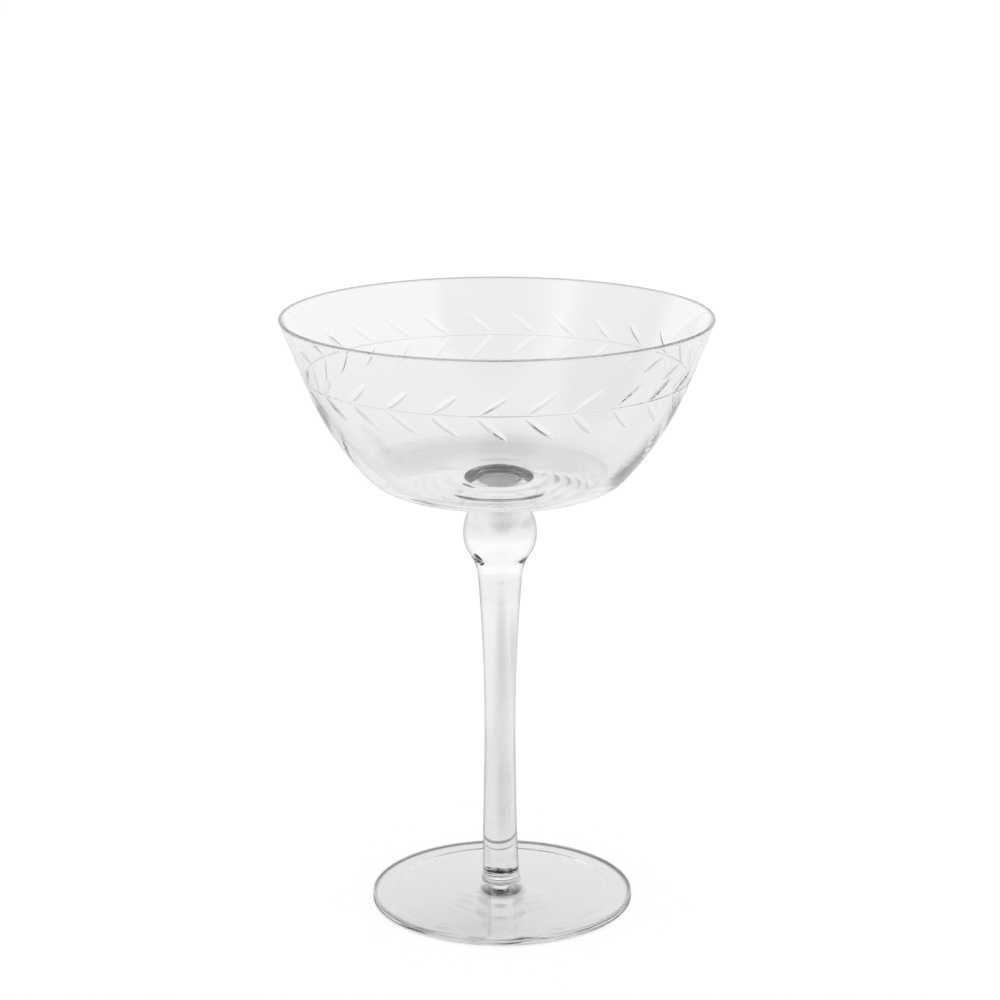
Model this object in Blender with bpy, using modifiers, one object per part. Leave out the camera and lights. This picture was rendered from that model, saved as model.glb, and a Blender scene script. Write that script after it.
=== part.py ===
"""Champagne coupe: a wide flared bowl on a knopped stem and a round foot, all in clear glass.

Four gathers of glass stand on one vertical axis: the foot, the stem, the ball-shaped knop and the bowl.
A wheel-cut branch runs round the bowl: a thin line with pairs of pointed leaves above and below it.
Metres, +Z up. The origin is on the table, at the centre of the foot. The front of the glass faces -Y.
"""

import math

import bmesh
import bpy
from mathutils import Matrix, Vector

# Foot
FOOT_RADIUS = 0.0350
FOOT_EDGE_THICKNESS = 0.0022
FOOT_EDGE_ROUND = 0.0009
FOOT_HUB_HEIGHT = 0.0046
FOOT_TOP_CURVE = 1.25
FOOT_RING_WIDTH = 0.0040
FOOT_HOLLOW_DEPTH = 0.0008

# Stem
STEM_LENGTH = 0.0850
STEM_WAIST_HEIGHT = 0.0431
STEM_WAIST_RADIUS = 0.0042
STEM_HEAD_RADIUS = 0.0058
STEM_HEAD_CURVE = 2.0
STEM_BASE_RADIUS = 0.0049
STEM_BASE_CURVE = 1.5
STEM_FLARE_RADIUS = 0.0030
STEM_FLARE_SPREAD = 0.0004

# Knop
KNOP_RADIUS = 0.00975
KNOP_SHOULDER_RADIUS = 0.0140
KNOP_LOWER_FILLET = 0.0130
NECK_RADIUS = 0.0080
NECK_FILLET = 0.0020

# Bowl
RIM_RADIUS = 0.0563
RIM_WALL = 0.0009
BASE_WALL = 0.0022
FLARE_ANGLE = math.radians(21.6)
FLARE_LENGTH = 0.0178
SIDE_RADIUS = 0.0794
SIDE_END_ANGLE = math.radians(42.4)
HEEL_RADIUS = 0.0128
BASE_ANGLE = math.radians(79.8)
FLOOR_DOME_RADIUS = 0.0240
FLOOR_CENTRE_THICKNESS = 0.0098

# Cut branch
LINE_DISTANCE = 0.0157
LINE_WIDTH = 0.0003
LINE_DEPTH = 0.0001
LEAF_PAIRS = 26
LEAF_FIRST_TURN = math.radians(-4.85)
LEAF_LENGTH = 0.0090
LEAF_WIDTH = 0.0014
LEAF_SLOPE = math.radians(40.5)
LEAF_CLEARANCE = 0.0006
LEAF_WHEEL_SIDES = 8
LEAF_WHEEL_RINGS = 8

# Space left between two pieces that are fused on the real glass
JOINT_GAP = 0.0003

# Facets of the round shapes
BOWL_STEPS = 60
FOOT_STEPS = 48
KNOP_STEPS = 36
STEM_STEPS = 24
MERGE_DISTANCE = 0.00001

GLASS_COLOUR = (0.97, 0.98, 0.98, 1.0)
GLASS_IOR = 1.5
GLASS_ROUGHNESS = 0.02

# Lengths down the bowl's outer slope
SIDE_LENGTH = SIDE_RADIUS * (SIDE_END_ANGLE - FLARE_ANGLE)
HEEL_LENGTH = HEEL_RADIUS * (BASE_ANGLE - SIDE_END_ANGLE)
SLOPE_LENGTH = FLARE_LENGTH + SIDE_LENGTH + HEEL_LENGTH

# Lean of the stem's side where it meets the knop
STEM_HEAD_LEAN = math.atan(
    STEM_HEAD_CURVE * (STEM_HEAD_RADIUS - STEM_WAIST_RADIUS) / (STEM_LENGTH - STEM_WAIST_HEIGHT)
)

# Heights of the joints, from the table up
STEM_FOOT = FOOT_HUB_HEIGHT + JOINT_GAP
STEM_HEAD = STEM_FOOT + STEM_LENGTH
KNOP_FOOT = STEM_HEAD + JOINT_GAP

# Centres (radius, height) of the knop's arcs: the fillet onto the stem, the ball, the shoulder, the neck
LOWER_FILLET_CENTRE = (
    STEM_HEAD_RADIUS + KNOP_LOWER_FILLET * math.cos(STEM_HEAD_LEAN),
    KNOP_FOOT - KNOP_LOWER_FILLET * math.sin(STEM_HEAD_LEAN),
)
KNOP_CENTRE = LOWER_FILLET_CENTRE[1] + math.sqrt(
    (KNOP_RADIUS + KNOP_LOWER_FILLET) ** 2 - LOWER_FILLET_CENTRE[0] ** 2
)
SHOULDER_CENTRE = (KNOP_RADIUS - KNOP_SHOULDER_RADIUS, KNOP_CENTRE)
KNOP_HEAD = KNOP_CENTRE + math.sqrt(
    (KNOP_SHOULDER_RADIUS + NECK_FILLET) ** 2 - (NECK_RADIUS + NECK_FILLET - SHOULDER_CENTRE[0]) ** 2
)
BOWL_FOOT = KNOP_HEAD + JOINT_GAP


def arc(centre, radius, start, end, parts):
    """Points (radius, height) along an arc, ends included; angles in radians from the outward direction."""
    turns = [start + (end - start) * i / parts for i in range(parts + 1)]
    return [(centre[0] + radius * math.cos(a), centre[1] + radius * math.sin(a)) for a in turns]


def side_at(distance):
    """Radius, drop below the rim and lean of the bowl's outer side at a distance down its slope.

    The lean is the angle between the wall and the vertical. The side starts straight, then bends gently,
    then tightly round the heel.
    """
    straight = min(distance, FLARE_LENGTH)
    radius = RIM_RADIUS - straight * math.sin(FLARE_ANGLE)
    drop = -straight * math.cos(FLARE_ANGLE)
    lean = FLARE_ANGLE
    left = distance - straight
    for bend, last in ((SIDE_RADIUS, SIDE_END_ANGLE), (HEEL_RADIUS, BASE_ANGLE)):
        reached = min(last, lean + left / bend)
        radius -= bend * (math.cos(lean) - math.cos(reached))
        drop -= bend * (math.sin(reached) - math.sin(lean))
        left -= bend * (reached - lean)
        lean = reached
    return radius, drop, lean


def inset(distance, depth):
    """Point (radius, drop) under the bowl's outer side, a depth into the glass."""
    radius, drop, lean = side_at(distance)
    return radius - depth * math.cos(lean), drop + depth * math.sin(lean)


def wall_at(distance):
    """Wall thickness of the bowl: thin at the rim, growing down the slope."""
    return RIM_WALL + (BASE_WALL - RIM_WALL) * (distance / SLOPE_LENGTH) ** 2


def bowl_rim_height():
    """Height of the rim's outer edge above the table."""
    heel_radius, heel_drop, _ = side_at(SLOPE_LENGTH)
    cone_start = NECK_RADIUS + NECK_FILLET * (1 - math.cos(BASE_ANGLE))
    cone_rise = (heel_radius - cone_start) / math.tan(BASE_ANGLE)
    return BOWL_FOOT + NECK_FILLET * math.sin(BASE_ANGLE) + cone_rise - heel_drop


def floor_dome(edge_height, parts):
    """Points of the floor, which swells over the knop, from the axis to where the base slope starts."""
    centre_height = BOWL_FOOT + FLOOR_CENTRE_THICKNESS
    rise = centre_height - edge_height
    slope = FLOOR_DOME_RADIUS / math.tan(BASE_ANGLE)
    points = []
    for i in range(parts + 1):
        share = i / parts
        fall = (3 * rise + slope) * share**2 - (2 * rise + slope) * share**3
        points.append((FLOOR_DOME_RADIUS * share, centre_height - fall))
    return points


def bowl_profile():
    """From the middle of the floor up the inside, over the rim, down the outside and in to the axis."""
    rim_height = bowl_rim_height()
    bends = [FLARE_LENGTH + SIDE_LENGTH * i / 6 for i in range(7)]
    bends += [FLARE_LENGTH + SIDE_LENGTH + HEEL_LENGTH * i / 5 for i in range(1, 6)]

    # The line that the branch grows from is a V in the outer side
    outer = [inset(LINE_DISTANCE - LINE_WIDTH / 2, 0.0)]
    outer.append(inset(LINE_DISTANCE, LINE_DEPTH))
    outer.append(inset(LINE_DISTANCE + LINE_WIDTH / 2, 0.0))
    outer += [inset(distance, 0.0) for distance in bends]

    # The base slope runs in from the heel and turns down into the neck
    neck_centre = (NECK_RADIUS + NECK_FILLET, BOWL_FOOT)
    neck = arc(neck_centre, NECK_FILLET, math.pi - BASE_ANGLE, math.pi, 3)

    # The inside follows the outside, as far as the floor
    inner = [(radius, rim_height + drop) for radius, drop in (inset(d, wall_at(d)) for d in bends)]
    dome_edge = inner[-1][1] - (inner[-1][0] - FLOOR_DOME_RADIUS) / math.tan(BASE_ANGLE)
    dome = floor_dome(dome_edge, 8)

    middle = inset(0.0, RIM_WALL / 2)
    rim_centre = (middle[0], rim_height + middle[1])
    rim = arc(rim_centre, RIM_WALL / 2, math.pi - FLARE_ANGLE, -FLARE_ANGLE, 4)
    outside = [(radius, rim_height + drop) for radius, drop in outer]
    return dome + inner[::-1] + rim + outside + neck + [(0.0, BOWL_FOOT)]


def knop_profile():
    """A ball with high shoulders, between the wide neck under the bowl and the narrow head of the stem."""
    neck_centre = (NECK_RADIUS + NECK_FILLET, KNOP_HEAD)
    neck_turn = math.atan2(KNOP_HEAD - KNOP_CENTRE, neck_centre[0] - SHOULDER_CENTRE[0])
    fillet_turn = math.atan2(LOWER_FILLET_CENTRE[1] - KNOP_CENTRE, LOWER_FILLET_CENTRE[0])
    points = [(0.0, KNOP_HEAD)]
    points += arc(neck_centre, NECK_FILLET, math.pi, math.pi + neck_turn, 3)
    points += arc(SHOULDER_CENTRE, KNOP_SHOULDER_RADIUS, neck_turn, 0.0, 5)[1:]
    points += arc((0.0, KNOP_CENTRE), KNOP_RADIUS, 0.0, fillet_turn, 5)[1:]
    end_turn = math.pi - STEM_HEAD_LEAN
    points += arc(LOWER_FILLET_CENTRE, KNOP_LOWER_FILLET, math.pi + fillet_turn, end_turn, 5)[1:]
    return points + [(0.0, KNOP_FOOT)]


def stem_flare_height():
    """Height of the small flare at the stem's base."""
    return math.sqrt(STEM_FLARE_RADIUS**2 - (STEM_FLARE_RADIUS - STEM_FLARE_SPREAD) ** 2)


def stem_profile():
    """A rod with a waist below its middle, drawn wider towards the knop and flared onto the foot."""
    waist = STEM_FOOT + STEM_WAIST_HEIGHT
    flare_top = STEM_FOOT + stem_flare_height()
    points = [(0.0, STEM_HEAD)]
    for i in range(9):
        share = 1 - i / 8
        swell = (STEM_HEAD_RADIUS - STEM_WAIST_RADIUS) * share**STEM_HEAD_CURVE
        points.append((STEM_WAIST_RADIUS + swell, waist + (STEM_HEAD - waist) * share))
    for i in range(1, 6):
        share = i / 5
        swell = (STEM_BASE_RADIUS - STEM_WAIST_RADIUS) * share**STEM_BASE_CURVE
        points.append((STEM_WAIST_RADIUS + swell, waist + (flare_top - waist) * share))
    flare_turn = math.pi + math.asin(stem_flare_height() / STEM_FLARE_RADIUS)
    flare_centre = (STEM_BASE_RADIUS + STEM_FLARE_RADIUS, flare_top)
    points += arc(flare_centre, STEM_FLARE_RADIUS, math.pi, flare_turn, 3)[1:]
    return points + [(0.0, STEM_FOOT)]


def foot_profile():
    """A disc that rises to the stem, with a rounded edge and a hollow inside its resting ring."""
    hub_radius = STEM_BASE_RADIUS + STEM_FLARE_SPREAD
    shoulder = FOOT_RADIUS - FOOT_EDGE_ROUND
    rise = FOOT_HUB_HEIGHT - FOOT_EDGE_THICKNESS
    points = [(0.0, FOOT_HUB_HEIGHT)]
    for i in range(7):
        share = 1 - i / 6
        radius = hub_radius + (shoulder - hub_radius) * (1 - share)
        points.append((radius, FOOT_EDGE_THICKNESS + rise * share**FOOT_TOP_CURVE))
    upper_centre = (shoulder, FOOT_EDGE_THICKNESS - FOOT_EDGE_ROUND)
    points += arc(upper_centre, FOOT_EDGE_ROUND, math.pi / 2, 0.0, 3)[1:]
    points += arc((shoulder, FOOT_EDGE_ROUND), FOOT_EDGE_ROUND, 0.0, -math.pi / 2, 3)
    ring_inside = shoulder - FOOT_RING_WIDTH
    for i in range(6):
        share = i / 5
        points.append((ring_inside * (1 - share), FOOT_HOLLOW_DEPTH * (1 - (1 - share) ** 2)))
    return points


def glass(name):
    """Clear glass for one piece."""
    material = bpy.data.materials.new(name)
    material.use_nodes = True
    inputs = material.node_tree.nodes["Principled BSDF"].inputs
    inputs["Base Color"].default_value = GLASS_COLOUR
    inputs["Roughness"].default_value = GLASS_ROUGHNESS
    inputs["Metallic"].default_value = 0.0
    inputs["IOR"].default_value = GLASS_IOR
    inputs["Transmission Weight"].default_value = 1.0
    return material


def turned(name, profile, steps, collection):
    """A piece turned about the vertical axis from a profile that starts and ends on it."""
    mesh = bpy.data.meshes.new(name)
    points = [(radius, 0.0, height) for radius, height in profile]
    mesh.from_pydata(points, [(i, i + 1) for i in range(len(points) - 1)], [])
    piece = bpy.data.objects.new(name, mesh)
    mesh.materials.append(glass(name + "_glass"))
    collection.objects.link(piece)
    screw = piece.modifiers.new("Turn", "SCREW")
    screw.axis = "Z"
    screw.angle = 2 * math.pi
    screw.steps = steps
    screw.render_steps = steps
    screw.use_merge_vertices = True
    screw.merge_threshold = MERGE_DISTANCE
    screw.use_smooth_shade = True
    return piece


def leaf_cutter(name, side, collection):
    """The wheel's path through every leaf on one side of the line: +1 above it, -1 below it.

    Each leaf is cut by a slim ellipsoid with flat sides. Only its two lowest sides reach the glass,
    so the cut is a shallow V that narrows to a point at both ends.
    """
    side_turn = 2 * math.pi / LEAF_WHEEL_SIDES
    depth = LEAF_WIDTH / 2 * math.tan(side_turn / 2)
    wheel_radius = depth / (1 - math.cos(side_turn))
    height = wheel_radius - depth
    half_length = LEAF_LENGTH / 2 / math.sqrt(1 - (height / wheel_radius) ** 2)

    across = LEAF_CLEARANCE + LEAF_LENGTH / 2 * math.sin(LEAF_SLOPE)
    radius, drop, lean = side_at(LINE_DISTANCE - side * across)
    along = LEAF_LENGTH / 2 * math.cos(LEAF_SLOPE) / radius
    rim_height = bowl_rim_height()

    cutter = bmesh.new()
    for i in range(LEAF_PAIRS):
        turn = LEAF_FIRST_TURN + 2 * math.pi * i / LEAF_PAIRS + along
        outward = Vector((math.sin(turn), -math.cos(turn), 0.0))
        around = Vector((math.cos(turn), math.sin(turn), 0.0))
        uphill = outward * math.sin(lean) + Vector((0.0, 0.0, math.cos(lean)))
        normal = outward * math.cos(lean) - Vector((0.0, 0.0, math.sin(lean)))
        vein = around * math.cos(LEAF_SLOPE) + uphill * side * math.sin(LEAF_SLOPE)
        place = Matrix((-normal, vein.cross(-normal), vein)).transposed().to_4x4()
        place.translation = outward * radius + Vector((0.0, 0.0, rim_height + drop)) + normal * height
        size = Matrix.Diagonal((wheel_radius, wheel_radius, half_length, 1.0))
        bmesh.ops.create_uvsphere(
            cutter,
            u_segments=LEAF_WHEEL_SIDES,
            v_segments=LEAF_WHEEL_RINGS,
            radius=1.0,
            matrix=place @ size,
        )
    mesh = bpy.data.meshes.new(name)
    cutter.to_mesh(mesh)
    cutter.free()
    tool = bpy.data.objects.new(name, mesh)
    tool.hide_render = True
    tool.display_type = "WIRE"
    collection.objects.link(tool)
    return tool


def cut(piece, tool):
    """Takes the tool's shape out of the piece."""
    boolean = piece.modifiers.new(tool.name, "BOOLEAN")
    boolean.operation = "DIFFERENCE"
    boolean.solver = "EXACT"
    boolean.object = tool


def new_collection(name):
    """A collection in the scene."""
    collection = bpy.data.collections.new(name)
    bpy.context.scene.collection.children.link(collection)
    return collection


def main():
    for old in list(bpy.data.objects):
        bpy.data.objects.remove(old)
    coupe = new_collection("champagne_coupe")
    tools = new_collection("cutting_wheels")
    bowl = turned("bowl", bowl_profile(), BOWL_STEPS, coupe)
    cut(bowl, leaf_cutter("upper_leaves", 1, tools))
    cut(bowl, leaf_cutter("lower_leaves", -1, tools))
    turned("knop", knop_profile(), KNOP_STEPS, coupe)
    turned("stem", stem_profile(), STEM_STEPS, coupe)
    turned("foot", foot_profile(), FOOT_STEPS, coupe)


main()
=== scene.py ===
"""Champagne coupe in clear glass, standing on a white studio table.

The bowl, knop, stem and foot are turned at a fine pitch and replace the plain solids of the frame. The branch round
the bowl is cut into its outer wall as real hollows. Metres, +Z up, origin under the middle of the foot, front to -Y.
"""

import math

import bpy
import numpy as np
from mathutils import Matrix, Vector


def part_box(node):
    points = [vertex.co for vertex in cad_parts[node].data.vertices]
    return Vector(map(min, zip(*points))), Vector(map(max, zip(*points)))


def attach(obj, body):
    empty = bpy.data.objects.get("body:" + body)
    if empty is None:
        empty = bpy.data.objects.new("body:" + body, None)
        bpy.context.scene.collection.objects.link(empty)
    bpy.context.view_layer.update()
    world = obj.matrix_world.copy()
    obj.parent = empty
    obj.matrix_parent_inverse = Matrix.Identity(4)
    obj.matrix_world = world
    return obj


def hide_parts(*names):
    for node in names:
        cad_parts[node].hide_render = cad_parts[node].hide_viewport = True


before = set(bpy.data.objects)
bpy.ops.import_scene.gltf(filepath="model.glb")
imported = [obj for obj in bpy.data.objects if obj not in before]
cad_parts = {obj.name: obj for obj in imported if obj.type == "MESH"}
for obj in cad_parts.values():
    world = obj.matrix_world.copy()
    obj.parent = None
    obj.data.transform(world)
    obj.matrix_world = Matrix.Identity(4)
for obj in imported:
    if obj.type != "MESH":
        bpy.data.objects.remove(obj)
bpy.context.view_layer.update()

MM = 0.001

# Foot: a disc that rises to the stem, with a resting ring and a hollow under it
FOOT_RADIUS = 0.0350
FOOT_EDGE_THICKNESS = 0.0022
FOOT_EDGE_ROUND = 0.0005
FOOT_TOP_CURVE = 1.25
FOOT_RING_WIDTH = 0.0044
FOOT_RING_STEP = 0.0025
FOOT_RING_DEPTH = 0.0003
FOOT_HOLLOW_DEPTH = 0.0009

# Stem
STEM_WAIST_RADIUS = 0.0041
STEM_WAIST_HEIGHT = 0.0480
STEM_HEAD_RADIUS = 0.0058
STEM_HEAD_CURVE = 2.0
STEM_BASE_RADIUS = 0.0049
STEM_BASE_CURVE = 1.5
STEM_FLARE_RADIUS = 0.0030
STEM_FLARE_SPREAD = 0.0004

# Knop
KNOP_RADIUS = 0.00975
KNOP_SHOULDER_RADIUS = 0.0140
KNOP_LOWER_FILLET = 0.0130
NECK_RADIUS = 0.0080
NECK_FILLET = 0.0020

# Bowl, from the rim down its outer slope, and its floor
RIM_RADIUS = 0.0563
RIM_WALL = 0.0009
BASE_WALL = 0.0022
FLARE_ANGLE = math.radians(21.6)
FLARE_LENGTH = 0.0178
SIDE_RADIUS = 0.0794
SIDE_END_ANGLE = math.radians(42.4)
HEEL_RADIUS = 0.0128
BASE_ANGLE = math.radians(79.8)
FLOOR_HEEL_SHARE = 0.63
FLOOR_EDGE_ANGLE = math.radians(3.0)
FLOOR_CROWN_RADIUS = 0.0216
FLOOR_CENTRE_THICKNESS = 0.0098
FLOOR_EDGE_CLEARANCE = 0.0001

# Joined by hand, a little out of true: how far each height stands to the right of the bowl's axis
AXIS_HEIGHTS = (0.0030, 0.0050, 0.0200, 0.1060, 0.1200)
AXIS_OFFSETS = (0.0014, 0.0011, 0.0008, 0.0008, 0.0000)

# Cut branch: a thin line, and pairs of leaves above and below it with a gentle upper face and a steep lower one
LINE_DISTANCE = 0.0157
LINE_WIDTH = 0.00035
LINE_DEPTH = 0.00010
LEAF_PAIRS = 27
LEAF_FIRST_TURN = math.radians(-5.4)
LEAF_LENGTH = 0.0098
LEAF_WIDTH = 0.0019
LEAF_DEPTH = 0.00030
LEAF_FULLNESS = 0.75
LEAF_KEEL = 0.4
LEAF_SLOPES = (math.radians(38.0), math.radians(44.0))
LEAF_CLEARANCE = 0.0002
BAND_HALF_WIDTH = 0.0084

# Cut by hand: between which shares a leaf's length and width vary, and by how many degrees and metres it strays
LEAF_LENGTHS = (0.88, 1.08)
LEAF_WIDTHS = (0.85, 1.15)
LEAF_LEANS = (-3.0, 3.0)
LEAF_SHIFTS = (-0.0004, 0.0004)
LEAF_SEED = 26

# The wheel's finish: how rough a cut is, and from which depth on. Its steps across a leaf are too fine to show, so
# they are drawn as one lean of the upper faces' shading, which turns them to the white surround
CUT_ROUGHNESS = 0.15
CUT_FULL_DEPTH = LINE_DEPTH / 4
FACET_TILT = 0.5

# Glass: its index, and how fast light is lost inside, in e-folds per metre
GLASS_INDEX = 1.5
GLASS_LOSS = 1.0

# Each gather's look: its colour square on, where along the turn of the surface its painted edge shade starts and the
# grey it reaches, and the waves that its making left: how long they are across, deep and along the axis, and how high
BOWL_LOOK = ("FAFAFA", 0.80, "A0A0A0", (8.333 * MM, 8.333 * MM, 8.333 * MM), 0.004 * MM)
KNOP_LOOK = ("FDFDFD", 0.45, "808080", (4.0 * MM, 4.0 * MM, 4.0 * MM), 0.010 * MM)
STEM_LOOK = ("FDFDFD", 0.40, "444444", (2.5 * MM, 2.5 * MM, 25.0 * MM), 0.008 * MM)
FOOT_LOOK = ("FDFDFD", 0.85, "505050", (6.667 * MM, 6.667 * MM, 6.667 * MM), 0.010 * MM)

# Rim, fire-polished, with a fine dark line of painted shade: the light kept by its top, and between which depths
# under the top it darkens
RIM_LIGHT = 0.6
RIM_DARKENS = (0.50 * RIM_WALL, 0.35 * RIM_WALL)

# Foot's edge: painted shade as dark rings round its turn. The light kept at each height of the turn, and between
# which radii the turn begins. The rings wander over a length by a height. They are broken into bits, of a length each
# way, where a noise lies between two levels. They are drawn a pixel or two wide
FOOT_EDGE_LIGHT = (
    (0.0, 1.0), (0.0004, 1.0),
    (0.0006, 0.05), (0.0009, 0.05),
    (0.0011, 1.0), (0.0014, 1.0),
    (0.0016, 0.05), (0.0019, 0.05),
    (0.0021, 1.0),
)
FOOT_EDGE_FROM = (0.0343, 0.0347)
FOOT_EDGE_WANDER = (11.111 * MM, 0.9 * MM)
FOOT_EDGE_BITS = (9.091 * MM, 9.091 * MM, 2.0 * MM)
FOOT_EDGE_BREAKS = (0.46, 0.66)

# Seams: the gap between their faces, the reach of the marks of painted shade in them, how coarse and how ragged those
# marks are, between which depths they fade from front to back, and how many times more ragged that fade is. The
# painted shade is drawn in ragged clumps
SEAM_GAP = 0.00004
SEAM_RADIUS = 0.0090
SEAM_CLUMP = 1.25 * MM
SEAM_RAGGED = 0.0008
SEAM_FADE = (-0.0015, 0.0015)
SEAM_FADE_RAGGED = 3.0
FOOT_SEAM_HEIGHT = 0.0078
FOOT_SEAM_RADIUS = 0.0048

# Marks of painted shade in the seams, drawn as dark rings: the middle, the stretch to the back, the shares left at
# the front and the back and shown from outside and inside the piece, and how much is hidden at each radius
BOWL_SEAM = (
    dict(
        middle=(0.0007, -0.0011), stretch=0.85, front=1.0, back=1.0, outside=1.0, inside=1.0,
        hides=((0.0, 0.52), (0.0050, 0.52), (0.0052, 0.0)),
    ),
    dict(
        middle=(0.0007, -0.0011), stretch=0.85, front=0.0, back=1.0, outside=1.0, inside=1.0,
        hides=((0.0, 0.0), (0.0046, 0.0), (0.0049, 1.0), (0.0055, 1.0), (0.0057, 0.0)),
    ),
    dict(
        middle=(0.0007, 0.0), stretch=1.0, front=0.05, back=1.0, outside=1.0, inside=1.0,
        hides=(
            (0.0, 0.0), (0.0052, 0.3), (0.0062, 0.75), (0.0065, 1.0),
            (0.0076, 1.0), (0.0078, 0.8), (0.0079, 0.9), (0.0080, 0.5),
        ),
    ),
)
FOOT_SEAM = (
    dict(
        middle=(0.00102, 0.0003), stretch=1.0, front=1.0, back=0.0, outside=1.0, inside=0.0,
        hides=((0.0, 0.97), (0.0043, 0.97), (0.0046, 0.0)),
    ),
    dict(
        middle=(0.00102, 0.0), stretch=1.0, front=1.0, back=1.0, outside=0.0, inside=1.0,
        hides=((0.0, 0.95), (0.0014, 0.95), (0.0018, 0.0)),
    ),
)

# Table: its reach each way, how far it lies under the foot, its own light to the lens, and its grey in room light
TABLE_REACH = 3.0
TABLE_DROP = 0.0002
PAPER_TO_LENS = 0.85
PAPER_GREY = "7C7C7C"

# The paper as the glass shows it, with painted shade: its light one metre from the middle of the shade, how much it
# gains with each e-fold of the distance, a length that rounds off the middle, and the light kept by radius where the
# foot stands
SHADE_MIDDLE = (-0.006, -0.024, 0.0)
PAPER_AT_ONE_METRE = 0.806
PAPER_STEP = 0.066
SHADE_ROUND = 0.004
FOOT_MIDDLE = (0.0013, 0.0, 0.0)
CONTACT_SHADE = (
    (0.0, 0.03), (0.0032, 0.03), (0.0066, 1.0), (0.0335, 1.0),
    (0.0346, 0.04), (0.0364, 0.04), (0.0390, 1.0), (0.0500, 1.0),
)

# Cards of painted shade on the table, which only the glass shows: a painted shadow of the glass in front, and painted
# shade behind it and to its left. Middle, reach each way, share where the soft edge starts, and colour
PAINTED_SHADE_CARDS = {
    "front_painted_shadow_card": ((0.012, -0.090), (0.054, 0.054), 0.4, "040404"),
    "back_painted_shade_card": ((-0.018, 0.25), (0.105, 0.23), 0.0, "EAEAEA"),
    "near_back_painted_shade_card": ((-0.014, 0.080), (0.042, 0.048), 0.2, "ECECEC"),
    "left_painted_shade_card": ((-0.16, 0.21), (0.14, 0.15), 0.1, "F2F2F2"),
}
CARD_CORNERS = 96

# Room: the plain light, the light the glass shows, and its dim places: direction, full and soft reach, light kept
PLAIN_LIGHT = 0.8
SKY_THROUGH_GLASS = 1.03
DIM_PLACES = (
    ((0.0, -0.97, 0.25), math.radians(18.0), math.radians(42.0), 0.1),
    ((-0.93, -0.16, 0.33), math.radians(20.0), math.radians(38.0), 0.2),
    ((0.54, 0.72, 0.44), math.radians(4.0), math.radians(9.0), 0.0),
    ((0.43, -0.82, 0.37), math.radians(7.0), math.radians(14.0), 0.0),
)
LIGHT_BOUNCES = 128

# Camera: lens and sensor in millimetres
CAMERA_PLACE = (0.0008, -0.725, 0.301)
CAMERA_PITCH = math.radians(14.69)
CAMERA_LENS = 102.85
CAMERA_SENSOR = 36.0
CAMERA_NEAR = 0.01

# Where most values of a noise lie
NOISE_ENDS = {"From Min": 0.3, "From Max": 0.7}

# Fineness of the turned shapes: columns round the axis, a whole number to each pair of leaves, steps along each
# stretch, and the angle kept as a sharp edge
BOWL_COLUMNS = LEAF_PAIRS * 16
BAND_COLUMNS = BOWL_COLUMNS * 4
SOLID_COLUMNS = 192
FLOOR_STEPS = 60
WALL_STEPS = 60
HEEL_STEPS = 24
RIM_STEPS = 12
UPPER_STEPS = 11
LEAF_STEPS = 36
LINE_STEPS = 12
LOWER_STEPS = 24
CONE_STEPS = 24
NECK_STEPS = 16
SHOULDER_STEPS = 20
BALL_STEPS = 16
FILLET_STEPS = 20
STEM_STEPS = 40
FLARE_STEPS = 10
FOOT_STEPS = 48
EDGE_STEPS = 10
RING_STEPS = 12
HOLLOW_STEPS = 32
SHARP_ANGLE = math.radians(60.0)

# Distances down the bowl's outer slope
HEEL_START = FLARE_LENGTH + SIDE_RADIUS * (SIDE_END_ANGLE - FLARE_ANGLE)
HEEL_LENGTH = HEEL_RADIUS * (BASE_ANGLE - SIDE_END_ANGLE)
SLOPE_LENGTH = HEEL_START + HEEL_LENGTH

# Heights of the fused joints: the middle of the thin gaps between the frame's solids
FOOT_JOINT = (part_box("foot")[1].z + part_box("stem")[0].z) / 2
KNOP_JOINT = (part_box("stem")[1].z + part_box("knop")[0].z) / 2
BOWL_JOINT = (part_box("knop")[1].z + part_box("bowl")[0].z) / 2

random = np.random.default_rng(LEAF_SEED)


def arc(centre, radius, start, end, steps):
    """Points (radius, height) along an arc, ends included; angles from the outward direction."""
    turns = np.linspace(start, end, steps + 1)
    return [(centre[0] + radius * math.cos(a), centre[1] + radius * math.sin(a)) for a in turns]


def side_at(distance):
    """Radius, drop below the rim and lean of the bowl's outer side at a distance down its slope."""
    straight = min(distance, FLARE_LENGTH)
    radius = RIM_RADIUS - straight * math.sin(FLARE_ANGLE)
    drop = -straight * math.cos(FLARE_ANGLE)
    lean = FLARE_ANGLE
    left = distance - straight
    for bend, last in ((SIDE_RADIUS, SIDE_END_ANGLE), (HEEL_RADIUS, BASE_ANGLE)):
        reached = min(last, lean + left / bend)
        radius -= bend * (math.cos(lean) - math.cos(reached))
        drop -= bend * (math.sin(reached) - math.sin(lean))
        left -= bend * (reached - lean)
        lean = reached
    return radius, drop, lean


def ring(radius, height, columns):
    """Points round the axis, starting at the front and going towards +X."""
    turn = 2 * np.pi * np.arange(columns) / columns
    radius = np.broadcast_to(radius, columns)
    return np.column_stack((radius * np.sin(turn), -radius * np.cos(turn), np.broadcast_to(height, columns)))


def rings(profile, columns):
    """One ring for each point of a profile, or a single point where the profile meets the axis."""
    return [ring(r, z, columns) if r > 0 else np.array([(0.0, 0.0, z)]) for r, z in profile]


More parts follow.
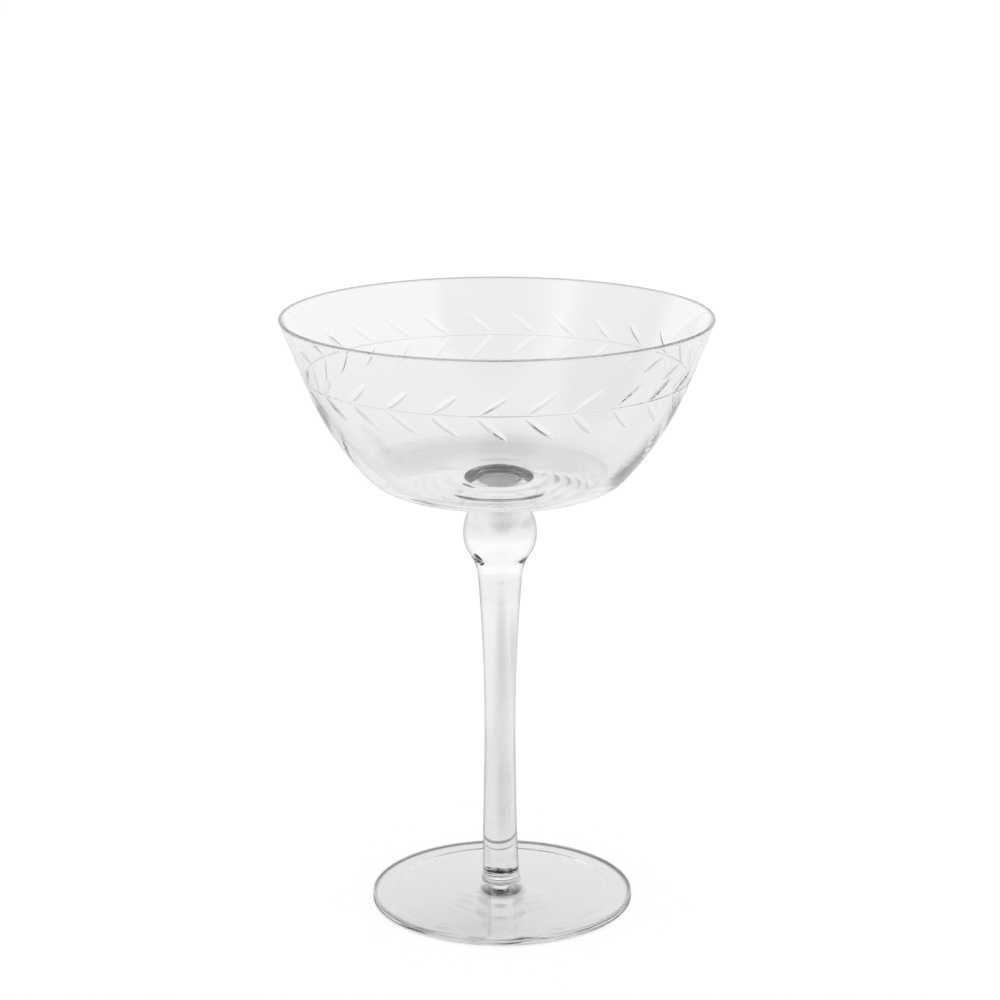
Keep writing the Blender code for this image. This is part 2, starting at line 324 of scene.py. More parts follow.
def skin(name, layers, joints, material, joint_material, marks=None):
    """A closed mesh over neighbouring layers; faces after a layer in joints get the joint material.

    A layer may be a single point, or have a whole multiple of its neighbour's points. Marks are values at the points
    that the material reads.
    """
    starts = np.cumsum([0] + [len(layer) for layer in layers])
    faces = []
    slots = []
    for i, (near, far) in enumerate(zip(layers, layers[1:])):
        count = min(len(near), len(far)) if min(len(near), len(far)) > 1 else max(len(near), len(far))
        for j in range(count):
            face = []
            for start, layer, backwards in ((starts[i], near, True), (starts[i + 1], far, False)):
                step = len(layer) // count
                side = [int(start)]
                if step:
                    side = [int(start) + (j * step + k) % len(layer) for k in range(step + 1)]
                face = side[::-1] + face if backwards else face + side
            faces.append(face)
        slots += [int(i in joints)] * count
    points = np.concatenate(layers)
    points[:, 0] += np.interp(points[:, 2], AXIS_HEIGHTS, AXIS_OFFSETS)
    mesh = bpy.data.meshes.new(name)
    mesh.from_pydata(points.tolist(), [], faces)
    for slot_material in (material, joint_material):
        mesh.materials.append(slot_material)
    mesh.polygons.foreach_set("material_index", slots)
    mesh.shade_smooth()
    mesh.set_sharp_from_angle(angle=SHARP_ANGLE)
    for mark, shares in (marks or {}).items():
        mesh.attributes.new(mark, "FLOAT", "POINT").data.foreach_set("value", shares)
    mesh.validate()
    piece = bpy.data.objects.new(name, mesh)
    bpy.context.scene.collection.objects.link(piece)
    return piece


def branch_depth(distances):
    """Depth of the cut branch, and where a leaf's upper face lies, by distance down the slope and by column."""
    turn = 2 * np.pi * np.arange(BAND_COLUMNS) / BAND_COLUMNS
    radius = np.array([side_at(d)[0] for d in distances])[:, None]
    below = (np.array(distances) - LINE_DISTANCE)[:, None]
    line = np.maximum(0.0, LINE_DEPTH * (1 - (2 * below / LINE_WIDTH) ** 2))
    depth = np.repeat(line, BAND_COLUMNS, axis=1)
    facet = np.zeros_like(depth)
    for i in range(LEAF_PAIRS):
        for side, lie in zip((-1, 1), LEAF_SLOPES):
            length = LEAF_LENGTH * random.uniform(*LEAF_LENGTHS)
            half_width = LEAF_WIDTH / 2 * random.uniform(*LEAF_WIDTHS)
            slope = lie + math.radians(random.uniform(*LEAF_LEANS))
            start = LEAF_FIRST_TURN + 2 * math.pi * i / LEAF_PAIRS + random.uniform(*LEAF_SHIFTS) / RIM_RADIUS
            along = radius * (np.remainder(turn - start + np.pi, 2 * np.pi) - np.pi)
            away = side * below - LEAF_CLEARANCE
            share = np.clip((along * math.cos(slope) + away * math.sin(slope)) / length, 0.0, 1.0)
            across = away * math.cos(slope) - along * math.sin(slope)
            # The tiny number only keeps the leaf's points from a division by nothing
            swell = (4 * share * (1 - share)) ** LEAF_FULLNESS + 1e-9
            lower = side * across / (half_width * swell)
            face = np.minimum((1 + lower) / (1 + LEAF_KEEL), (1 - lower) / (1 - LEAF_KEEL))
            hollow = np.where(np.abs(along) < length, LEAF_DEPTH * swell * face, 0.0)
            facet = np.where(hollow > depth, lower < LEAF_KEEL, facet)
            depth = np.maximum(depth, hollow)
    return depth, facet


def bowl_layers():
    """Layers of the bowl, from its floor's middle over the rim and down to the neck, and the marks of its cuts."""
    heel_radius, heel_drop, _ = side_at(SLOPE_LENGTH)
    cone_start = NECK_RADIUS + NECK_FILLET * (1 - math.cos(BASE_ANGLE))
    cone_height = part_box("bowl")[0].z + NECK_FILLET * math.sin(BASE_ANGLE)
    rim_height = cone_height + (heel_radius - cone_start) / math.tan(BASE_ANGLE) - heel_drop

    def outside(distance):
        radius, drop, _ = side_at(distance)
        return radius, rim_height + drop

    def inside(distance):
        radius, drop, lean = side_at(distance)
        wall = RIM_WALL + (BASE_WALL - RIM_WALL) * (distance / SLOPE_LENGTH) ** 2
        return radius - wall * math.cos(lean), rim_height + drop + wall * math.sin(lean)

    # The floor swells over the knop and meets the heel in a soft crease, at the height and slope it has there
    floor_start = HEEL_START + FLOOR_HEEL_SHARE * HEEL_LENGTH
    edge_radius, edge_height = inside(floor_start)
    centre_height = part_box("bowl")[0].z + FLOOR_CENTRE_THICKNESS
    rise = centre_height - edge_height
    slope = -edge_radius * math.tan(FLOOR_EDGE_ANGLE)
    crown = edge_radius**2 / (2 * FLOOR_CROWN_RADIUS)
    bend = np.linalg.solve([[1, 1], [3, 4]], [rise - crown, slope - 2 * crown])
    inner = []
    for share in np.linspace(0.0, 1.0, FLOOR_STEPS + 1):
        fall = crown * share**2 + bend[0] * share**3 + bend[1] * share**4
        inner.append((edge_radius * share, centre_height - fall))
    heel = np.linspace(HEEL_START, SLOPE_LENGTH, HEEL_STEPS + 1)[1:]
    inner += [inside(d) for d in heel[::-1] if d < floor_start - FLOOR_EDGE_CLEARANCE]
    inner += [inside(d) for d in np.linspace(HEEL_START, 0.0, WALL_STEPS + 1)[:-1]]

    half_wall = RIM_WALL / 2
    middle = (RIM_RADIUS - half_wall * math.cos(FLARE_ANGLE), rim_height + half_wall * math.sin(FLARE_ANGLE))
    rim = arc(middle, half_wall, math.pi - FLARE_ANGLE, -FLARE_ANGLE, RIM_STEPS)
    band_top = LINE_DISTANCE - BAND_HALF_WIDTH
    band_foot = LINE_DISTANCE + BAND_HALF_WIDTH
    upper = [outside(d) for d in np.linspace(0.0, band_top, UPPER_STEPS + 1)[1:]]

    line_top = LINE_DISTANCE - LINE_WIDTH
    line_foot = LINE_DISTANCE + LINE_WIDTH
    distances = list(np.linspace(band_top, line_top, LEAF_STEPS + 1)[1:])
    distances += list(np.linspace(line_top, line_foot, LINE_STEPS + 1)[1:])
    distances += list(np.linspace(line_foot, band_foot, LEAF_STEPS + 1)[1:-1])
    depth, facet = branch_depth(distances)
    band = []
    for d, cut in zip(distances, depth):
        radius, drop, lean = side_at(d)
        band.append(ring(radius - cut * math.cos(lean), rim_height + drop + cut * math.sin(lean), BAND_COLUMNS))

    lower = [outside(d) for d in np.linspace(band_foot, HEEL_START, LOWER_STEPS + 1)]
    lower += [outside(d) for d in heel]
    for radius in np.linspace(heel_radius, cone_start, CONE_STEPS + 1)[1:]:
        lower.append((radius, cone_height + (radius - cone_start) / math.tan(BASE_ANGLE)))
    neck_centre = (NECK_RADIUS + NECK_FILLET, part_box("bowl")[0].z)
    lower += arc(neck_centre, NECK_FILLET, math.pi - BASE_ANGLE, math.pi, NECK_STEPS)[1:]
    lower += [(NECK_RADIUS, BOWL_JOINT + SEAM_GAP), (0.0, BOWL_JOINT + SEAM_GAP)]

    before = rings(inner + rim + upper, BOWL_COLUMNS)
    after = rings(lower, BOWL_COLUMNS)
    plain = [np.zeros(sum(len(layer) for layer in part)) for part in (before, after)]
    ground = np.clip(depth / CUT_FULL_DEPTH, 0.0, 1.0)
    marks = {}
    for mark, shares in (("cut", ground), ("facet", facet)):
        marks[mark] = np.concatenate((plain[0], shares.ravel(), plain[1]))
    return before + band + after, marks


def knop_profile():
    """A ball with high shoulders, from the neck under the bowl to the head of the stem."""
    foot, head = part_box("knop")[0].z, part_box("knop")[1].z
    neck_centre = (NECK_RADIUS + NECK_FILLET, head)
    shoulder_radius = KNOP_RADIUS - KNOP_SHOULDER_RADIUS
    rise = math.sqrt((KNOP_SHOULDER_RADIUS + NECK_FILLET) ** 2 - (neck_centre[0] - shoulder_radius) ** 2)
    centre = head - rise
    neck_turn = math.atan2(rise, neck_centre[0] - shoulder_radius)
    stem_length = KNOP_JOINT - STEM_WAIST_HEIGHT
    lean = math.atan(STEM_HEAD_CURVE * (STEM_HEAD_RADIUS - STEM_WAIST_RADIUS) / stem_length)
    fillet_centre = (
        STEM_HEAD_RADIUS + KNOP_LOWER_FILLET * math.cos(lean),
        foot - KNOP_LOWER_FILLET * math.sin(lean),
    )
    fillet_turn = math.atan2(fillet_centre[1] - centre, fillet_centre[0])
    points = [(0.0, BOWL_JOINT), (NECK_RADIUS, BOWL_JOINT)]
    points += arc(neck_centre, NECK_FILLET, math.pi, math.pi + neck_turn, NECK_STEPS)
    points += arc((shoulder_radius, centre), KNOP_SHOULDER_RADIUS, neck_turn, 0.0, SHOULDER_STEPS)[1:]
    points += arc((0.0, centre), KNOP_RADIUS, 0.0, fillet_turn, BALL_STEPS)[1:]
    points += arc(fillet_centre, KNOP_LOWER_FILLET, math.pi + fillet_turn, math.pi - lean, FILLET_STEPS)[1:]
    return points + [(STEM_HEAD_RADIUS, KNOP_JOINT), (0.0, KNOP_JOINT)]


def stem_profile():
    """A rod with a waist below its middle, drawn wider towards the knop and flared onto the foot."""
    foot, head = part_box("stem")[0].z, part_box("stem")[1].z
    flare_height = math.sqrt(STEM_FLARE_RADIUS**2 - (STEM_FLARE_RADIUS - STEM_FLARE_SPREAD) ** 2)
    flare_top = foot + flare_height
    points = [(0.0, KNOP_JOINT), (STEM_HEAD_RADIUS, KNOP_JOINT)]
    for share in np.linspace(1.0, 0.0, STEM_STEPS + 1):
        swell = (STEM_HEAD_RADIUS - STEM_WAIST_RADIUS) * share**STEM_HEAD_CURVE
        points.append((STEM_WAIST_RADIUS + swell, STEM_WAIST_HEIGHT + (head - STEM_WAIST_HEIGHT) * share))
    for share in np.linspace(0.0, 1.0, STEM_STEPS + 1)[1:]:
        swell = (STEM_BASE_RADIUS - STEM_WAIST_RADIUS) * share**STEM_BASE_CURVE
        points.append((STEM_WAIST_RADIUS + swell, STEM_WAIST_HEIGHT + (flare_top - STEM_WAIST_HEIGHT) * share))
    flare_centre = (STEM_BASE_RADIUS + STEM_FLARE_RADIUS, flare_top)
    flare_turn = math.pi + math.asin(flare_height / STEM_FLARE_RADIUS)
    points += arc(flare_centre, STEM_FLARE_RADIUS, math.pi, flare_turn, FLARE_STEPS)[1:]
    points += [(points[-1][0], FOOT_JOINT)]
    return points + [(FOOT_SEAM_RADIUS, FOOT_SEAM_HEIGHT + SEAM_GAP), (0.0, FOOT_SEAM_HEIGHT + SEAM_GAP)]


def foot_profile():
    """A disc that rises to the stem, with a rounded edge and a hollow inside its resting ring."""
    hub_radius = STEM_BASE_RADIUS + STEM_FLARE_SPREAD
    shoulder = FOOT_RADIUS - FOOT_EDGE_ROUND
    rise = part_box("foot")[1].z - FOOT_EDGE_THICKNESS
    points = [(0.0, FOOT_SEAM_HEIGHT), (FOOT_SEAM_RADIUS, FOOT_SEAM_HEIGHT), (hub_radius, FOOT_JOINT - SEAM_GAP)]
    for share in np.linspace(1.0, 0.0, FOOT_STEPS + 1):
        height = FOOT_EDGE_THICKNESS + rise * share**FOOT_TOP_CURVE
        points.append((shoulder - (shoulder - hub_radius) * share, height))
    upper_edge = (shoulder, FOOT_EDGE_THICKNESS - FOOT_EDGE_ROUND)
    points += arc(upper_edge, FOOT_EDGE_ROUND, math.pi / 2, 0.0, EDGE_STEPS)[1:]
    points += arc((shoulder, FOOT_EDGE_ROUND), FOOT_EDGE_ROUND, 0.0, -math.pi / 2, EDGE_STEPS)
    ring_inside = shoulder - FOOT_RING_WIDTH
    for share in np.linspace(0.0, 1.0, RING_STEPS + 1)[:-1]:
        points.append((ring_inside - FOOT_RING_STEP * share, FOOT_RING_DEPTH * share**2 * (3 - 2 * share)))
    hollow_radius = ring_inside - FOOT_RING_STEP
    for share in np.linspace(0.0, 1.0, HOLLOW_STEPS + 1):
        deeper = (FOOT_HOLLOW_DEPTH - FOOT_RING_DEPTH) * (1 - (1 - share) ** 2)
        points.append((hollow_radius * (1 - share), FOOT_RING_DEPTH + deeper))
    return points


def srgb(code):
    """Linear colour from a six-digit sRGB hex code."""
    parts = [int(code[i : i + 2], 16) / 255 for i in (0, 2, 4)]
    return [p / 12.92 if p <= 0.04045 else ((p + 0.055) / 1.055) ** 2.4 for p in parts] + [1.0]


def add(tree, kind, inputs=None, stops=(), **settings):
    """Adds a node with its settings and the stops it grades between; an input is a value, or an output to link."""
    made = tree.nodes.new(kind)
    for name, value in settings.items():
        setattr(made, name, value)
    for i, (position, level) in enumerate(stops):
        elements = made.color_ramp.elements
        stop = elements[i] if i < 2 else elements.new(position)
        stop.position = position
        stop.color = (level, level, level, 1.0)
    for name, value in (inputs or {}).items():
        if isinstance(value, bpy.types.NodeSocket):
            tree.links.new(value, made.inputs[name])
        else:
            made.inputs[name].default_value = value
    return made


def new_material(name):
    """An empty node material and its output node."""
    material = bpy.data.materials.new(name)
    material.use_nodes = True
    material.node_tree.nodes.clear()
    return material, material.node_tree, add(material.node_tree, "ShaderNodeOutputMaterial")


def rim_painted_shade(tree, place):
    """Light kept by the fire-polished turn of the rim: painted shade that draws a fine dark line along its top."""
    height = add(tree, "ShaderNodeSeparateXYZ", {0: place}).outputs["Z"]
    start, end = [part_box("bowl")[1].z - depth for depth in RIM_DARKENS]
    ends = {"From Min": start, "From Max": end, "To Min": 1.0, "To Max": RIM_LIGHT}
    return add(tree, "ShaderNodeMapRange", {"Value": height, **ends}).outputs[0]


def foot_edge_painted_shade(tree, place):
    """Light kept by the turn of the foot's edge: painted shade, as broken dark rings that wander."""
    axes = add(tree, "ShaderNodeSeparateXYZ", {0: place}).outputs
    length, swing = FOOT_EDGE_WANDER
    noise = add(tree, "ShaderNodeTexNoise", {"Vector": place, "Scale": 1 / length, "Detail": 2.0}).outputs["Fac"]
    ends = {**NOISE_ENDS, "To Min": -swing / 2, "To Max": swing / 2}
    shift = add(tree, "ShaderNodeMapRange", {"Value": noise, **ends}).outputs[0]
    height = add(tree, "ShaderNodeMath", {0: axes["Z"], 1: shift}, operation="ADD").outputs[0]
    top = FOOT_EDGE_LIGHT[-1][0]
    share = add(tree, "ShaderNodeMath", {0: height, 1: top}, operation="DIVIDE").outputs[0]
    stops = [(level / top, light) for level, light in FOOT_EDGE_LIGHT]
    kept = add(tree, "ShaderNodeValToRGB", {"Fac": share}, stops).outputs["Color"]

    flat = add(tree, "ShaderNodeCombineXYZ", {"X": axes["X"], "Y": axes["Y"]}).outputs[0]
    middle = (AXIS_OFFSETS[0], 0.0, 0.0)
    reach = add(tree, "ShaderNodeVectorMath", {0: flat, 1: middle}, operation="DISTANCE").outputs["Value"]
    ends = {"From Min": FOOT_EDGE_FROM[0], "From Max": FOOT_EDGE_FROM[1]}
    near = add(tree, "ShaderNodeMapRange", {"Value": reach, **ends}).outputs[0]

    counts = [1 / length for length in FOOT_EDGE_BITS]
    spot = add(tree, "ShaderNodeVectorMath", {0: place, 1: counts}, operation="MULTIPLY").outputs[0]
    noise = add(tree, "ShaderNodeTexNoise", {"Vector": spot, "Scale": 1.0, "Detail": 3.0}).outputs["Fac"]
    ends = {"From Min": FOOT_EDGE_BREAKS[0], "From Max": FOOT_EDGE_BREAKS[1]}
    left = add(tree, "ShaderNodeMapRange", {"Value": noise, **ends}).outputs[0]
    drawn = add(tree, "ShaderNodeMath", {0: near, 1: left}, operation="MULTIPLY").outputs[0]
    return add(tree, "ShaderNodeMix", {0: drawn, 6: srgb("FFFFFF"), 7: kept}, data_type="RGBA").outputs[2]


def clear_glass(name, look, edge_light=None, cut=False):
    """Soda-lime glass, worked hot and fire-polished: clear and mirror-smooth, with soft waves from the hand.

    It is painted grey along its edges, as shade, and it greys where light runs far inside it. An edge light, where
    given, paints more shade on it. The light that is lost is worked out at each surface that is met from within, from
    the way travelled. Wheel cuts are a little rough, so that they shine white.
    """
    colour, edge_shade_from, edge_shade_colour, wave_lengths, wave_height = look
    material, tree, output = new_material(name)
    # Painted shade: grey where the surface turns away from square on, along every edge
    facing = add(tree, "ShaderNodeLayerWeight").outputs["Facing"]
    ends = {"From Min": edge_shade_from, "From Max": 1.0}
    edge = add(tree, "ShaderNodeMapRange", {"Value": facing, **ends}, interpolation_type="SMOOTHSTEP").outputs[0]
    shades = {0: edge, 6: srgb(colour), 7: srgb(edge_shade_colour)}
    tint_and_edge_shade = add(tree, "ShaderNodeMix", shades, data_type="RGBA").outputs[2]
    place = add(tree, "ShaderNodeTexCoord").outputs["Object"]
    # Painted shade of the rim or of the foot's edge, where given
    if edge_light:
        shades = {0: 1.0, 6: tint_and_edge_shade, 7: edge_light(tree, place)}
        tint_and_edge_shade = add(tree, "ShaderNodeMix", shades, data_type="RGBA", blend_type="MULTIPLY").outputs[2]

    counts = [1 / length for length in wave_lengths]
    spot = add(tree, "ShaderNodeVectorMath", {0: place, 1: counts}, operation="MULTIPLY").outputs[0]
    wave = add(tree, "ShaderNodeTexNoise", {"Vector": spot, "Scale": 1.0, "Detail": 1.0}).outputs["Fac"]
    bump = {"Strength": 1.0, "Distance": wave_height, "Height": wave}
    normal = add(tree, "ShaderNodeBump", bump).outputs[0]
    within = add(tree, "ShaderNodeNewGeometry").outputs["Backfacing"]
    roughness = 0.0
    if cut:
        facet = add(tree, "ShaderNodeAttribute", attribute_name="facet").outputs["Fac"]
        tilt = {0: within, 1: FACET_TILT, 2: -FACET_TILT}
        tilt = add(tree, "ShaderNodeMath", tilt, operation="MULTIPLY_ADD").outputs[0]
        lean = add(tree, "ShaderNodeMath", {0: facet, 1: tilt}, operation="MULTIPLY").outputs[0]
        lean = add(tree, "ShaderNodeCombineXYZ", {"Z": lean}).outputs[0]
        normal = add(tree, "ShaderNodeVectorMath", {0: normal, 1: lean}, operation="ADD").outputs[0]
        normal = add(tree, "ShaderNodeVectorMath", {0: normal}, operation="NORMALIZE").outputs[0]
        ground = add(tree, "ShaderNodeAttribute", attribute_name="cut").outputs["Fac"]
        roughness = add(tree, "ShaderNodeMapRange", {"Value": ground, "To Max": CUT_ROUGHNESS}).outputs[0]
    clear = add(
        tree,
        "ShaderNodeBsdfPrincipled",
        {
            "Base Color": tint_and_edge_shade,
            "Roughness": roughness,
            "IOR": GLASS_INDEX,
            "Transmission Weight": 1.0,
            "Normal": normal,
        },
    )

    way = add(tree, "ShaderNodeLightPath").outputs["Ray Length"]
    decay = add(tree, "ShaderNodeMath", {0: way, 1: -GLASS_LOSS}, operation="MULTIPLY").outputs[0]
    kept = add(tree, "ShaderNodeMath", {0: decay}, operation="EXPONENT").outputs[0]
    lost = add(tree, "ShaderNodeMath", {0: 1.0, 1: kept}, operation="SUBTRACT").outputs[0]
    lost = add(tree, "ShaderNodeMath", {0: lost, 1: within}, operation="MULTIPLY").outputs[0]
    dark = add(tree, "ShaderNodeBsdfDiffuse", {"Color": srgb("000000")})
    both = add(tree, "ShaderNodeMixShader", {0: lost, 1: clear.outputs[0], 2: dark.outputs[0]})
    tree.links.new(both.outputs[0], output.inputs["Surface"])
    return material


def fused_joint(name, marks):
    """The face where two gathers of hot glass are fused: clear, but for the marks given, painted shade as ragged dark
    rings.
    """
    material, tree, output = new_material(name)
    alpha = 0.0
    place = add(tree, "ShaderNodeTexCoord").outputs["Object"]
    noise = {"Vector": place, "Scale": 1 / SEAM_CLUMP, "Detail": 4.0}
    rough = add(tree, "ShaderNodeTexNoise", noise).outputs["Fac"]
    ends = {**NOISE_ENDS, "To Min": -SEAM_RAGGED, "To Max": SEAM_RAGGED}
    shift = add(tree, "ShaderNodeMapRange", {"Value": rough, **ends}).outputs[0]
    within = add(tree, "ShaderNodeNewGeometry").outputs["Backfacing"]
    for mark in marks:
        middle = (*mark["middle"], 0.0)
        spread = (1.0, mark["stretch"], 0.0)
        spot = add(tree, "ShaderNodeVectorMath", {0: place, 1: middle}, operation="SUBTRACT").outputs[0]
        flat = add(tree, "ShaderNodeVectorMath", {0: spot, 1: spread}, operation="MULTIPLY").outputs[0]
        reach = add(tree, "ShaderNodeVectorMath", {0: flat}, operation="LENGTH").outputs["Value"]
        reach = add(tree, "ShaderNodeMath", {0: reach, 1: shift}, operation="ADD").outputs[0]
        share = add(tree, "ShaderNodeMath", {0: reach, 1: SEAM_RADIUS}, operation="DIVIDE").outputs[0]
        stops = [(radius / SEAM_RADIUS, hides) for radius, hides in mark["hides"]]
        hides = add(tree, "ShaderNodeValToRGB", {"Fac": share}, stops).outputs["Color"]

        depth = add(tree, "ShaderNodeSeparateXYZ", {0: spot}).outputs["Y"]
        depth = {0: shift, 1: SEAM_FADE_RAGGED, 2: depth}
        depth = add(tree, "ShaderNodeMath", depth, operation="MULTIPLY_ADD").outputs[0]
        ends = {"From Min": SEAM_FADE[0], "From Max": SEAM_FADE[1], "To Min": mark["front"], "To Max": mark["back"]}
        left = add(tree, "ShaderNodeMapRange", {"Value": depth, **ends}).outputs[0]
        hides = add(tree, "ShaderNodeMath", {0: hides, 1: left}, operation="MULTIPLY").outputs[0]
        ends = {"To Min": mark["outside"], "To Max": mark["inside"]}
        shown = add(tree, "ShaderNodeMapRange", {"Value": within, **ends}).outputs[0]
        hides = add(tree, "ShaderNodeMath", {0: hides, 1: shown}, operation="MULTIPLY").outputs[0]
        alpha = add(tree, "ShaderNodeMath", {0: hides, 1: alpha}, operation="MAXIMUM").outputs[0]
    # Painted shade: a black matt face where the marks hide the light
    seam_shade = {"Base Color": srgb("000000"), "Roughness": 1.0, "Alpha": alpha, "Specular IOR Level": 0.0}
    shader = add(tree, "ShaderNodeBsdfPrincipled", seam_shade)
    tree.links.new(shader.outputs["BSDF"], output.inputs["Surface"])
    return material


def table_paper():
    """White paper, matt: white to the lens, with the foot's shadow.

    Through the glass it carries painted shade that greys towards the foot, with a dark spot under the stem and a dark
    ring round the foot's edge; under the foot its matt grey is painted darker the same way.
    """
    material, tree, output = new_material("white_table_paper")
    place = add(tree, "ShaderNodeTexCoord").outputs["Object"]
    reach = add(tree, "ShaderNodeVectorMath", {0: place, 1: SHADE_MIDDLE}, operation="DISTANCE").outputs["Value"]
    away = add(tree, "ShaderNodeMath", {0: reach, 1: SHADE_ROUND}, operation="ADD").outputs[0]
    folds = add(tree, "ShaderNodeMath", {0: away, 1: math.e}, operation="LOGARITHM").outputs[0]
    shade = {0: folds, 1: PAPER_STEP, 2: PAPER_AT_ONE_METRE}
    shade = add(tree, "ShaderNodeMath", shade, operation="MULTIPLY_ADD").outputs[0]
    under = add(tree, "ShaderNodeVectorMath", {0: place, 1: FOOT_MIDDLE}, operation="DISTANCE").outputs["Value"]
    last = CONTACT_SHADE[-1][0]
    share = add(tree, "ShaderNodeMath", {0: under, 1: last}, operation="DIVIDE").outputs[0]
    stops = [(radius / last, light) for radius, light in CONTACT_SHADE]
    contact = add(tree, "ShaderNodeValToRGB", {"Fac": share}, stops).outputs["Color"]
    shade = add(tree, "ShaderNodeMath", {0: shade, 1: contact}, operation="MULTIPLY").outputs[0]

    path = add(tree, "ShaderNodeLightPath").outputs
    bent = {0: path["Is Glossy Ray"], 1: path["Is Transmission Ray"]}
    bent = add(tree, "ShaderNodeMath", bent, operation="MAXIMUM").outputs[0]
    bent = add(tree, "ShaderNodeMath", {0: bent, 1: shade}, operation="MULTIPLY").outputs[0]
    seen = {0: path["Is Camera Ray"], 1: PAPER_TO_LENS, 2: bent}
    seen = add(tree, "ShaderNodeMath", seen, operation="MULTIPLY_ADD").outputs[0]
    glow = add(tree, "ShaderNodeEmission", {"Color": srgb("FFFFFF"), "Strength": seen})

    clear = add(tree, "ShaderNodeMath", {0: under, 1: FOOT_RADIUS}, operation="GREATER_THAN").outputs[0]
    clear = add(tree, "ShaderNodeMath", {0: clear, 1: contact}, operation="MAXIMUM").outputs[0]
    shades = {0: clear, 6: srgb("000000"), 7: srgb(PAPER_GREY)}
    grey = add(tree, "ShaderNodeMix", shades, data_type="RGBA").outputs[2]
    matt = add(tree, "ShaderNodeBsdfDiffuse", {"Color": grey})
    both = add(tree, "ShaderNodeAddShader", {0: glow.outputs[0], 1: matt.outputs[0]})
    tree.links.new(both.outputs[0], output.inputs["Surface"])
    return material


def painted_shade_material(name, soft_from, colour):
    """Matt flock card with a soft round edge: painted shade that takes the light away, so that the glass draws its
    own edges.
    """
    material, tree, output = new_material(name)
    place = add(tree, "ShaderNodeTexCoord").outputs["Object"]
    reach = add(tree, "ShaderNodeVectorMath", {0: place}, operation="LENGTH").outputs["Value"]
    ends = {"From Min": soft_from, "From Max": 1.0}
    edge = add(tree, "ShaderNodeMapRange", {"Value": reach, **ends}, interpolation_type="SMOOTHSTEP").outputs[0]
    flock = add(tree, "ShaderNodeBsdfDiffuse", {"Color": srgb(colour)})
    open_air = add(tree, "ShaderNodeBsdfTransparent")
    both = add(tree, "ShaderNodeMixShader", {0: edge, 1: flock.outputs[0], 2: open_air.outputs[0]})
    tree.links.new(both.outputs[0], output.inputs["Surface"])
    return material


def panel(name, corners, material):
    """A flat stage panel through its corners."""
    mesh = bpy.data.meshes.new(name)
    mesh.from_pydata(corners, [], [range(len(corners))])
    mesh.materials.append(material)
    board = bpy.data.objects.new(name, mesh)
    bpy.context.scene.collection.objects.link(board)
    return board


def floor_card(name, middle, reach, soft_from, colour):
    """A round card of painted shade lying on the table, reaching so far each way from its middle; only the glass
    shows it.
    """
    turns = np.linspace(0.0, 2 * math.pi, CARD_CORNERS + 1)[:-1]
    corners = [(math.sin(t), -math.cos(t), 0.0) for t in turns]
    card = panel(name, corners, painted_shade_material(name + "_flock", soft_from, colour))
    card.location = (*middle, 0.0)
    card.scale = (*reach, 1.0)
    card.visible_camera = False
    card.visible_diffuse = False
    card.visible_shadow = False


def studio_world():
    """Even white light from all round.

    The glass alone also shows the room's dim places: round the lens, to the left, and two small ones on the right.
    """
    world = bpy.data.worlds.new("white_studio")
    world.use_nodes = True
    tree = world.node_tree
    tree.nodes.clear()
    direction = add(tree, "ShaderNodeTexCoord").outputs["Generated"]
    room = SKY_THROUGH_GLASS
    for middle, full, soft, light in DIM_PLACES:
        facing = {0: direction, 1: middle}
        facing = add(tree, "ShaderNodeVectorMath", facing, operation="DOT_PRODUCT").outputs["Value"]
        ends = {"From Min": math.cos(soft), "From Max": math.cos(full), "To Min": 1.0, "To Max": light}
        dim = add(tree, "ShaderNodeMapRange", {"Value": facing, **ends}, interpolation_type="SMOOTHSTEP").outputs[0]
        room = add(tree, "ShaderNodeMath", {0: room, 1: dim}, operation="MULTIPLY").outputs[0]
    path = add(tree, "ShaderNodeLightPath").outputs
    ends = {"To Min": PLAIN_LIGHT, "To Max": 1.0}
    plain = add(tree, "ShaderNodeMapRange", {"Value": path["Is Camera Ray"], **ends}).outputs[0]
    bent = {0: path["Is Glossy Ray"], 1: path["Is Transmission Ray"]}
    bent = add(tree, "ShaderNodeMath", bent, operation="MAXIMUM").outputs[0]
    strength = add(tree, "ShaderNodeMix", {0: bent, 2: plain, 3: room}).outputs[0]
    light = add(tree, "ShaderNodeBackground", {"Color": srgb("FFFFFF"), "Strength": strength})
    output = add(tree, "ShaderNodeOutputWorld")
    tree.links.new(light.outputs[0], output.inputs["Surface"])
    bpy.context.scene.world = world


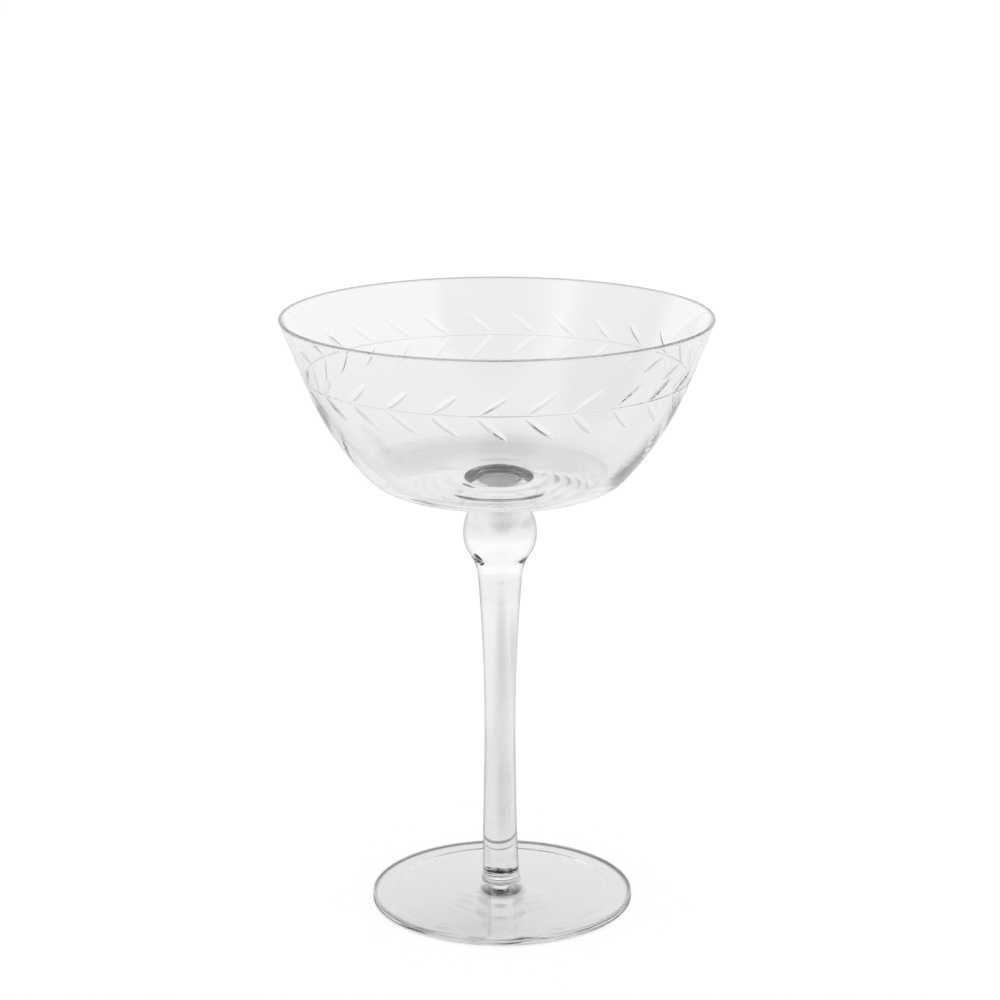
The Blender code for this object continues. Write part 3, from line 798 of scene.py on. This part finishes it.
def place_camera():
    """The lens looks down on the glass from in front."""
    lens = bpy.data.cameras.new("lens")
    lens.sensor_width = CAMERA_SENSOR
    lens.lens = CAMERA_LENS
    lens.clip_start = CAMERA_NEAR
    camera = bpy.data.objects.new("camera", lens)
    bpy.context.scene.collection.objects.link(camera)
    tilt = Matrix.Rotation(math.pi / 2 - CAMERA_PITCH, 4, "X")
    camera.matrix_world = Matrix.Translation(CAMERA_PLACE) @ tilt
    bpy.context.scene.camera = camera


def dress(piece, node):
    """The piece stands for one solid of the frame."""
    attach(piece, "root")
    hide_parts(node)


clear_joint = fused_joint("fused_glass_joint", ())
# The seams of the bowl and the foot carry painted shade: dark rings seen through the knop and at the stem's base
bowl_seam = fused_joint("painted_shade_in_bowl_joint", BOWL_SEAM)
foot_seam = fused_joint("painted_shade_in_foot_joint", FOOT_SEAM)

# Blown bowl: calm waves, a fine dark rim of painted shade and ground leaves. Gathered knop: lively waves that tear
# its
# reflections. Drawn stem: waves pulled long, and sides darkened with painted shade. Spun foot: clear, with rings of
# painted shade round its edge
blown = clear_glass("blown_soda_lime_glass", BOWL_LOOK, rim_painted_shade, cut=True)
gathered = clear_glass("gathered_soda_lime_glass", KNOP_LOOK)
drawn = clear_glass("drawn_soda_lime_glass", STEM_LOOK)
spun = clear_glass("spun_soda_lime_glass", FOOT_LOOK, foot_edge_painted_shade)

layers, marks = bowl_layers()
dress(skin("blown_bowl", layers, {len(layers) - 2}, blown, bowl_seam, marks), "bowl")
for name, node, profile, joints, glass, joint in (
    ("ball_knop", "knop", knop_profile(), (0, -2), gathered, clear_joint),
    ("drawn_stem", "stem", stem_profile(), (0, -3, -2), drawn, clear_joint),
    ("spun_foot", "foot", foot_profile(), (0, 1), spun, foot_seam),
):
    layers = rings(profile, SOLID_COLUMNS)
    dress(skin(name, layers, {i % len(layers) for i in joints}, glass, joint), node)

table_corners = [(x * TABLE_REACH, y * TABLE_REACH, -TABLE_DROP) for x, y in ((-1, -1), (1, -1), (1, 1), (-1, 1))]
panel("table", table_corners, table_paper())
for name, card in PAINTED_SHADE_CARDS.items():
    floor_card(name, *card)
studio_world()
place_camera()

scene = bpy.context.scene
scene.view_settings.view_transform = "Standard"
for kind in ("max_bounces", "transmission_bounces", "glossy_bounces", "transparent_max_bounces"):
    setattr(scene.cycles, kind, LIGHT_BOUNCES)
